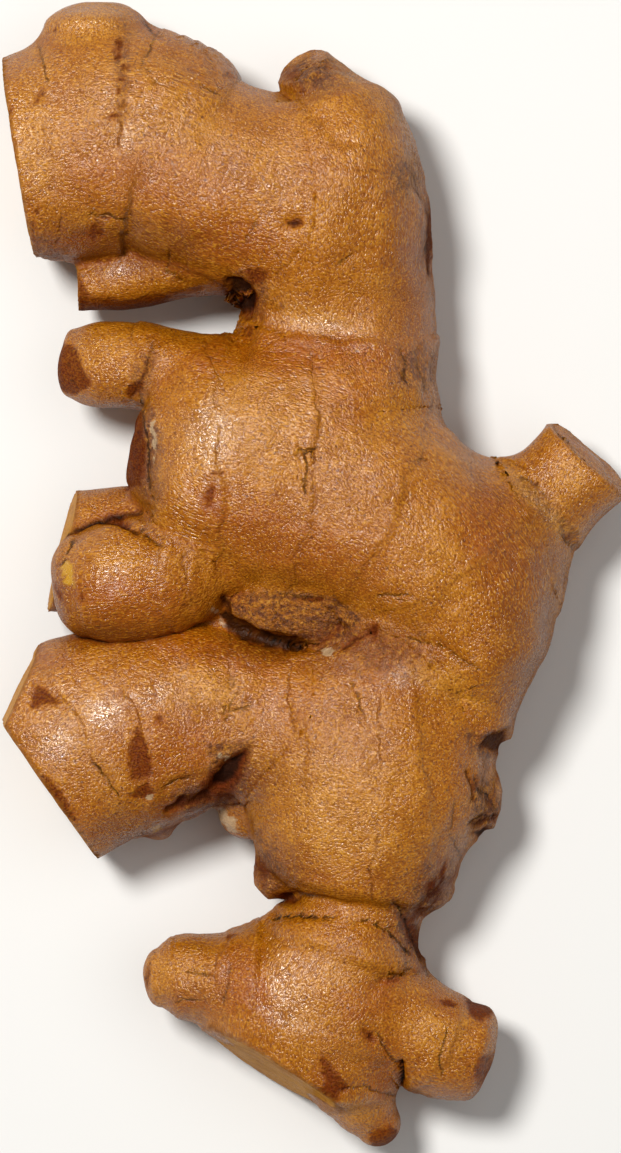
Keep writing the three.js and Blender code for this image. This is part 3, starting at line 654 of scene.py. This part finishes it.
# The sculpting: lobes are drawn together softly, then the unevenness, rings and pits are worked in
# by moving the skin's points, and masks for the skin's colours are kept on them.
def sculptRoot(root):
    mesh = root.data
    seeds = gingerRoot["seeds"]
    lobes = prepareLobes()
    names = [lobe["name"] for lobe in lobes]
    softness = joinSoftness(lobes)
    points = readPoints(mesh)
    for turn in range(3):
        skin, owner, creaseShade, outside = measureWhole(lobes, softness, points)
        points = points - readNormals(mesh) * np.clip(skin, -1.2, 1.2)[:, None]
        writePoints(mesh, points)
    skin, owner, creaseShade, outside = measureWhole(lobes, softness, points)
    normals = readNormals(mesh)
    print("lobes blended, largest miss", round(float(np.abs(skin).max()), 2), "mm")

    storeGrain(mesh, lobes, owner, points)

    cutMask = np.zeros(len(points))
    rim = np.zeros(len(points))
    for i, lobe in enumerate(lobes):
        for at, facing in lobe["cuts"]:
            onFace = (owner == i) & (np.abs((points - at) @ facing) < 0.3) & (normals @ facing > 0.6)
            cutMask[onFace] = 1
            bare = dict(lobe, cuts=[])
            rim[onFace] = -measureLobe(bare, points[onFace])[0]

    push = np.zeros(len(points))
    for i, (size, height) in enumerate(gingerRoot["lumps"]):
        push += height * softNoise(points, size, seeds["lumps"] + i)
    push *= 1 - 0.6 * cutMask

    # each leaf-scar ring: a step in the skin, and how far each point is from its line
    rough = np.zeros(len(points))
    ringAway, ringStrength = np.full(len(points), 9.0), np.zeros(len(points))
    for i, (name, at, faces, bow, depth, step, dark) in enumerate(gingerRoot["rings"]):
        index = names.index(name)
        own = outside[:, index] - outside.min(axis=1)
        hold = np.exp(-np.maximum(own, 0) / 1.2)
        angle = math.radians(faces)
        dx, dy = points[:, 0] - at[0], points[:, 1] - at[1]
        sideways = (-dx * math.sin(angle) + dy * math.cos(angle)) / lobes[index]["width"].mean()
        away = dx * math.cos(angle) + dy * math.sin(angle) + bow * sideways ** 2
        away += 1.1 * softNoise(points, 6.5, seeds["ringBends"] + i) \
            + 0.7 * softNoise(points, 2.6, seeds["ringWobbles"] + i)
        broken = np.clip(0.5 + 1.2 * softNoise(points, 5, seeds["ringBreaks"] + i), 0.03, 1)
        push -= hold * broken * depth * np.exp(-(away / 0.6) ** 2)
        push += hold * step * np.where(away < 0, np.exp(away / 5), -0.25 * np.exp(-away / 3)) \
            * np.clip(np.abs(away) / 0.4, 0, 1)
        strength = hold * broken * dark * np.exp(-(away / 1.8) ** 2)
        nearer = (np.abs(away) < np.abs(ringAway)) & (own < 1.5)
        ringAway[nearer], ringStrength[nearer] = away[nearer], strength[nearer]
        rough = np.maximum(rough, hold * 0.12 * np.exp(-(away / 1.3) ** 2))

    crackAway, crackStrength = np.full(len(points), 9.0), np.zeros(len(points))
    for i, (dark, depth, *path) in enumerate(gingerRoot["cracks"]):
        away, fade = measureCrack(points, path)
        away = away + 0.25 * softNoise(points, 1.6, seeds["cracks"] + i)
        fade = fade * np.clip(normals[:, 2] * 3, 0, 1)
        push -= depth * fade * np.exp(-(away / 0.55) ** 2)
        nearer = np.abs(away) < np.abs(crackAway)
        strength = dark * fade * np.exp(-(away / 1.5) ** 2)
        crackAway[nearer], crackStrength[nearer] = away[nearer], strength[nearer]

    for i, (depth, halfWidth, *path) in enumerate(gingerRoot["clefts"]):
        away, fade = measureCrack(points, path)
        away = away + 0.35 * softNoise(points, 1.9, seeds["clefts"] + i)
        hollow = fade * np.exp(-(away / halfWidth) ** 2) * np.clip(normals[:, 2] * 2 + 0.4, 0, 1)
        push -= depth * hollow
        # a cleft also gets the painted crease shade
        creaseShade = np.maximum(creaseShade, np.clip(hollow * 1.35, 0, 1) * min(1, 0.55 + depth / 3))

    masks = {kind: np.zeros(len(points)) for kind in ("scar", "rough", "paper", "rusty", "flesh", "hole")}
    masks["rough"] = rough
    seenFromAbove = np.clip(normals[:, 2] * 3 + 1.2, 0, 1)
    for i, (kind, strength, *corners) in enumerate(gingerRoot["patches"]):
        mark = patchMask(points, corners, seeds["patches"] + i) * strength * seenFromAbove
        masks[kind] = np.maximum(masks[kind], mark)
    hole = masks.pop("hole")
    push -= gingerRoot["holeDepth"] * hole * np.clip(1 - 1.5 * creaseShade, 0, 1)
    # holes are sunk and also get the painted crease shade
    creaseShade = np.maximum(creaseShade, hole)
    for i, (kind, centre, radii, turn, strength) in enumerate(gingerRoot["marks"]):
        mark = ovalMask(points, centre, radii, turn, 0.45, seeds["marks"] + 2 * i) * strength * seenFromAbove
        masks[kind] = np.maximum(masks[kind], mark)
    # pale, warm and dark masks: partly painted highlight and painted shade, partly tone that differs at
    # random
    tonesGlossAndPaintedLight = {kind: np.zeros(len(points)) for kind in ("pale", "warm", "dark", "gloss")}
    for i, (kind, centre, radii, turn, strength) in enumerate(gingerRoot["tonesGlossAndPaintedLight"]):
        soft = ovalMask(points, centre, radii, turn, 0.25, seeds["tonesGlossAndPaintedLight"] + 2 * i) * strength
        tonesGlossAndPaintedLight[kind] = np.maximum(tonesGlossAndPaintedLight[kind], soft * np.clip(normals[:, 2] * 2 + 0.5, 0, 1))

    # root scars low on the sides and underneath
    under = gingerRoot["underMarks"]
    chance = np.random.default_rng(under["seed"])
    low = np.flatnonzero((normals[:, 2] < -0.05) & (cutMask < 0.5) & (points[:, 2] > 0.2) & (creaseShade < 0.3))
    for i in range(under["count"]):
        spot = points[low[chance.integers(len(low))]]
        radius = chance.uniform(*under["radius"])
        away = np.linalg.norm(points - spot, axis=1) / radius
        ringed = np.exp(-((away - 0.85) / 0.25) ** 2)
        push += under["rim"] * ringed - under["pit"] * np.clip(1 - away, 0, 1)
        masks["scar"] = np.maximum(masks["scar"], 0.75 * ringed)
        masks["paper"] = np.maximum(masks["paper"], 0.6 * np.clip(1 - away * 1.6, 0, 1))

    # broken and scaly places stand up unevenly
    scabs = [height * softNoise(points, size, seeds["scabs"] + i)
             for i, (size, height) in enumerate(gingerRoot["scabs"])]
    push += masks["rough"] * sum(scabs)
    push -= gingerRoot["scarDepth"] * masks["scar"]
    points = points + normals * push[:, None]
    points[:, 2] = np.maximum(points[:, 2], 0)
    writePoints(mesh, points)

    lines = {"ringAway": ringAway * mm, "ringStrength": ringStrength, "crackAway": crackAway * mm,
             "crackStrength": crackStrength, "creaseShade": creaseShade, "cutFace": cutMask, "cutRim": rim * mm}
    kinds = {kind: np.clip(values, 0, 1) for kind, values in {**masks, **tonesGlossAndPaintedLight}.items()}
    for name, values in {**lines, **kinds}.items():
        storeMask(mesh, name, values)
    print("root sculpted:", len(points), "points")


def srgb(red, green, blue):
    return tuple((c / 255 / 12.92) if c <= 10 else ((c / 255 + 0.055) / 1.055) ** 2.4
                 for c in (red, green, blue)) + (1,)


skinLook = {
    # pale, warm and dark colour the broad patches, which are partly painted highlight (pale) and painted
    # shade (warm, dark)
    "mid": srgb(168, 99, 4), "pale": srgb(190, 125, 29), "warm": srgb(160, 84, 1),
    # fleckAndHollowShade darkens the grain's hollows as painted shade and adds dark flecks; paleFleckAndGlint
    # lightens its raised points as painted glints and adds pale crumbs in rough places
    "dark": srgb(116, 57, 5), "fleckAndHollowShade": srgb(112, 52, 3), "paleFleckAndGlint": srgb(209, 147, 38),
    # rustAndShade is the reddish brown of rust and scars, and also painted shade around the creases between
    # lobes
    "ring": srgb(88, 38, 6), "scar": srgb(82, 27, 4), "rustAndShade": srgb(128, 50, 5),
    # creaseShade is near black: painted shade in the creases between lobes, in clefts and holes, and also the
    # real dark of cracks, scar edges and pits in rough places
    "creaseShade": srgb(20, 8, 3), "paper": srgb(178, 148, 112), "flesh": srgb(186, 134, 22),
    "cut": srgb(198, 138, 52), "cutRing": srgb(168, 105, 32), "cutSpot": srgb(132, 80, 24),
    "roughness": 0.19, "grainSize": 0.3, "grainStretch": 0.75, "bump": 0.08,
    # how wide each pattern's patches are
    "sizes": {"drift": 15, "blotch": 4.5, "ragged": 0.9, "fine": 0.3, "specks": 1.5, "fibres": 1.3,
              "cells": 0.45},
}


def buildSkin():
    material = bpy.data.materials.new("gingerSkin")
    material.use_nodes = True
    tree = material.node_tree
    tree.nodes.clear()
    link = tree.links.new

    def node(kind, inputs=None, **settings):
        made = tree.nodes.new(kind)
        for key, value in settings.items():
            setattr(made, key, value)
        for key, value in (inputs or {}).items():
            if isinstance(value, bpy.types.NodeSocket):
                link(value, made.inputs[key])
            else:
                made.inputs[key].default_value = value
        return made

    def mask(name):
        return node("ShaderNodeAttribute", attribute_name=name).outputs["Fac"]

    def noise(place, size, detail=2, rough=0.5, distort=0):
        return node("ShaderNodeTexNoise", {"Vector": place, "Scale": 1 / (size * mm), "Detail": detail,
                                           "Roughness": rough, "Distortion": distort}).outputs["Fac"]

    def fit(value, low, high, start=0.0, end=1.0):
        return node("ShaderNodeMapRange", {"Value": value, "From Min": low, "From Max": high,
                                           "To Min": start, "To Max": end}).outputs["Result"]

    def cells(place, size, **settings):
        return node("ShaderNodeTexVoronoi", {"Vector": place, "Scale": 1 / (size * mm)},
                    **settings).outputs["Distance"]

    def sums(operation):
        return lambda *values: node("ShaderNodeMath", dict(enumerate(values)), operation=operation).outputs[0]

    def mix(factor, a, b):
        return node("ShaderNodeMix", {0: factor, 6: a, 7: b}, data_type="RGBA", clamp_factor=True).outputs[2]

    plus, times, larger, sizeOf = map(sums, ("ADD", "MULTIPLY", "MAXIMUM", "ABSOLUTE"))
    look = skinLook
    sizes = look["sizes"]
    place = node("ShaderNodeTexCoord").outputs["Object"]
    grainPlace = node("ShaderNodeAttribute", attribute_name="grainPlace").outputs["Vector"]
    stretch = (look["grainStretch"], 1, 1)
    stretched = node("ShaderNodeMapping", {"Vector": grainPlace, "Scale": stretch}).outputs[0]

    grain = noise(stretched, look["grainSize"], 2, 0.5, 0.4)
    grainWide = noise(stretched, look["grainSize"] * 2.6, 2, 0.55, 0.6)
    blotch = noise(place, sizes["blotch"], 4, 0.6)
    drift = noise(place, sizes["drift"], 2, 0.5)
    fine = noise(place, sizes["fine"], 2, 0.6)
    ragged = noise(place, sizes["ragged"], 3, 0.6)

    scar, rough, creaseShade = mask("scar"), mask("rough"), mask("creaseShade")
    edge = fit(ragged, 0.3, 0.7, -0.35, 0.35)
    scarEdge = fit(plus(scar, edge), 0.35, 0.75)
    scarSoft = fit(scar, 0.05, 0.9)

    # thin lines: dark where their strength beats a patchy noise
    def line(away, strength, width, seedSize, least):
        wobble = fit(noise(place, seedSize, 3, 0.6), 0.25, 0.75, -0.3 * mm, 0.3 * mm)
        near = fit(sizeOf(plus(mask(away), wobble)), 0.34 * width * mm, 0.08 * width * mm)
        patchy = fit(noise(place, 2.6, 2), 0.38, 0.58, least, 1)
        return times(times(near, patchy), mask(strength))

    ringLine = line("ringAway", "ringStrength", 0.85, 1.4, 0.25)
    crackLine = line("crackAway", "crackStrength", 0.85, 1.1, 0.65)

    specks = times(fit(cells(place, sizes["specks"]), 0.2, 0.1), fit(noise(place, 2.4, 1), 0.48, 0.58))
    # pale skin where the pale mask lies, which is partly painted highlight, and in random blotches
    colour = mix(fit(plus(mask("pale"), fit(blotch, 0.3, 0.7, -0.3, 0.4)), 0, 1), look["mid"], look["pale"])
    layers = (
        # broad colour: the pale mask is partly painted highlight and the warm and dark masks are partly
        # painted shade, each mixed with noise for tone that differs at random
        (fit(plus(mask("warm"), fit(drift, 0.35, 0.65, -0.2, 0.3)), 0, 1), "warm"),
        (fit(plus(mask("dark"), fit(blotch, 0.35, 0.7, 0.2, -0.15)), 0, 1), "dark"),
        # grain: short pale streaks on its raised points, which are painted glints, and dark streaks in its
        # hollows, which are painted shade, then scattered specks
        (fit(grain, 0.5, 0.34, 0, 0.7), "fleckAndHollowShade"),
        (fit(grain, 0.54, 0.68, 0, 0.6), "paleFleckAndGlint"),
        (fit(fine, 0.46, 0.3, 0, 0.75), "fleckAndHollowShade"),
        (fit(grainWide, 0.45, 0.3, 0, 0.25), "fleckAndHollowShade"),
        (times(specks, 0.7), "ring"),
        # rust, rough places and scars
        (times(times(mask("rusty"), fit(fine, 0.42, 0.62)), 0.75), "rustAndShade"),
        (times(rough, fit(ragged, 0.55, 0.38, 0, 0.85)), "ring"),
        (times(rough, fit(fine, 0.42, 0.3, 0, 0.85)), "creaseShade"),
        (times(rough, fit(ragged, 0.6, 0.72, 0, 0.6)), "paleFleckAndGlint"),
        (times(scarSoft, 0.45), "rustAndShade"),
        (times(scarEdge, fit(fine, 0.35, 0.6, 1, 0.45)), "scar"),
        (times(scarEdge, fit(ragged, 0.45, 0.3, 0, 0.6)), "creaseShade"),
        # lines, dry skin, bare flesh, and painted shade in the creases between the lobes and in clefts and
        # holes
        (ringLine, "ring"),
        (crackLine, "creaseShade"),
        (times(fit(plus(mask("paper"), edge), 0.3, 0.6), 0.9), "paper"),
        (fit(mask("flesh"), 0.3, 0.7), "flesh"),
        (fit(creaseShade, 0.25, 0.8, 0, 0.55), "rustAndShade"),
        (fit(creaseShade, 0.5, 0.95), "creaseShade"),
    )
    for amount, tint in layers:
        colour = mix(amount, colour, look[tint])

    # cut flesh: pale, with a darker ring inside the skin and cut fibre ends
    cutFace, rimAway = mask("cutFace"), mask("cutRim")
    cut = mix(fit(cells(place, sizes["fibres"]), 0.3, 0.12, 0, 0.6), look["cut"], look["cutSpot"])
    cut = mix(fit(noise(place, 3.2, 3), 0.45, 0.7, 0, 0.5), cut, look["cutRing"])
    ringAt = sizeOf(plus(rimAway, -2.6 * mm))
    cut = mix(fit(ringAt, 0.45 * mm, 0, 0, 0.8), cut, look["cutRing"])
    cut = mix(fit(rimAway, 0.8 * mm, 0, 0, 0.8), cut, look["dark"])
    colour = mix(cutFace, colour, cut)

    # relief: leathery cells, grain, pores and scabs
    relief = fit(grain, 0.25, 0.75, 0, 1.5)
    for part in (
        fit(cells(stretched, sizes["cells"], feature="SMOOTH_F1"), 0, 0.8, 0, 0.3),
        fit(grainWide, 0.25, 0.75, 0, 1.1),
        fit(fine, 0.25, 0.75, 0, 0.2),
        fit(blotch, 0.2, 0.8, 0, 2.4),
        times(rough, fit(noise(place, 0.8, 4, 0.7), 0.3, 0.7, 0, 4)),
        times(larger(ringLine, crackLine), -2.5),
        times(scarEdge, -1.2),
    ):
        relief = plus(relief, part)
    bump = node("ShaderNodeBump", {"Height": relief, "Distance": look["bump"] * mm, "Strength": 1.0})

    shine = fit(blotch, 0.3, 0.7, look["roughness"] - 0.04, look["roughness"] + 0.12)
    shine = plus(shine, times(mask("gloss"), -0.05))
    shine = plus(shine, times(larger(scarSoft, creaseShade), 0.25))
    shine = plus(shine, times(larger(rough, cutFace), 0.2))

    # wax shine, dull in scars and cracks and weaker where the skin turns away
    dull = larger(larger(scarSoft, creaseShade), larger(ringLine, crackLine))
    dull = larger(dull, times(cutFace, 0.6))
    gleam = times(fit(dull, 0, 0.8, 0.72, 0.12), fit(mask("gloss"), 0, 1, 1, 2.6))
    away = node("ShaderNodeLayerWeight", {"Blend": 0.5}).outputs["Facing"]
    gleam = times(gleam, fit(away, 0.35, 0.8, 1, 0.06))
    skin = node("ShaderNodeBsdfPrincipled", {
        "Base Color": colour, "Roughness": shine, "Normal": bump.outputs[0], "Specular IOR Level": gleam})
    skin.inputs["Specular Tint"].default_value = (1, 0.97, 0.92, 1)
    node("ShaderNodeOutputMaterial", {"Surface": skin.outputs[0]})
    print("skin material:", len(tree.nodes), "nodes")
    return material


def layFloor():
    deselectAll()
    bpy.ops.mesh.primitive_plane_add(size=floor["size"], location=(0, 0, 0))
    plane = bpy.context.object
    plane.name = "floor"
    material = bpy.data.materials.new("paleFloor")
    material.use_nodes = True
    shader = material.node_tree.nodes["Principled BSDF"]
    shader.inputs["Base Color"].default_value = (*floor["tint"], 1)
    shader.inputs["Roughness"].default_value = floor["roughness"]
    plane.data.materials.append(material)


def aimAt(thing, target):
    turn = Vector(target) - thing.location
    thing.rotation_euler = turn.to_track_quat("-Z", "Y").to_euler()


def lightStage():
    for name in ("key", "top"):
        setting = lights[name]
        deselectAll()
        bpy.ops.object.light_add(type="AREA", location=setting["from"])
        lamp = bpy.context.object
        lamp.name = name + "Light"
        lamp.data.shape = "DISK"
        lamp.data.size = setting["size"]
        lamp.data.energy = setting["power"]
        lamp.data.color = setting["tint"]
        lamp.visible_glossy = setting["gleams"]
        aimAt(lamp, (0, 0, 0))
    world = bpy.data.worlds.new("softRoom")
    world.use_nodes = True
    back = world.node_tree.nodes["Background"]
    back.inputs["Color"].default_value = (*lights["world"]["tint"], 1)
    back.inputs["Strength"].default_value = lights["world"]["strength"]
    bpy.context.scene.world = world


def placeCamera():
    deselectAll()
    distance = camera["seen"] * camera["lens"] / camera["sensor"]
    x, y, z = camera["aim"]
    bpy.ops.object.camera_add(location=(x * mm, y * mm, (z + distance) * mm), rotation=(0, 0, 0))
    eye = bpy.context.object
    eye.data.lens = camera["lens"]
    eye.data.sensor_width = camera["sensor"]
    eye.data.clip_end = 20
    bpy.context.scene.camera = eye
    bpy.context.scene.view_settings.view_transform = "Standard"


def main():
    placeCamera()
    lightStage()
    layFloor()
    root = joinLobes()
    sculptRoot(root)
    root.data.materials.clear()
    root.data.materials.append(buildSkin())
    deselectAll()
    root.select_set(True)
    bpy.context.view_layer.objects.active = root
    bpy.ops.object.shade_smooth()
    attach(root, "root")
    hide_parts("ginger_root")


main()
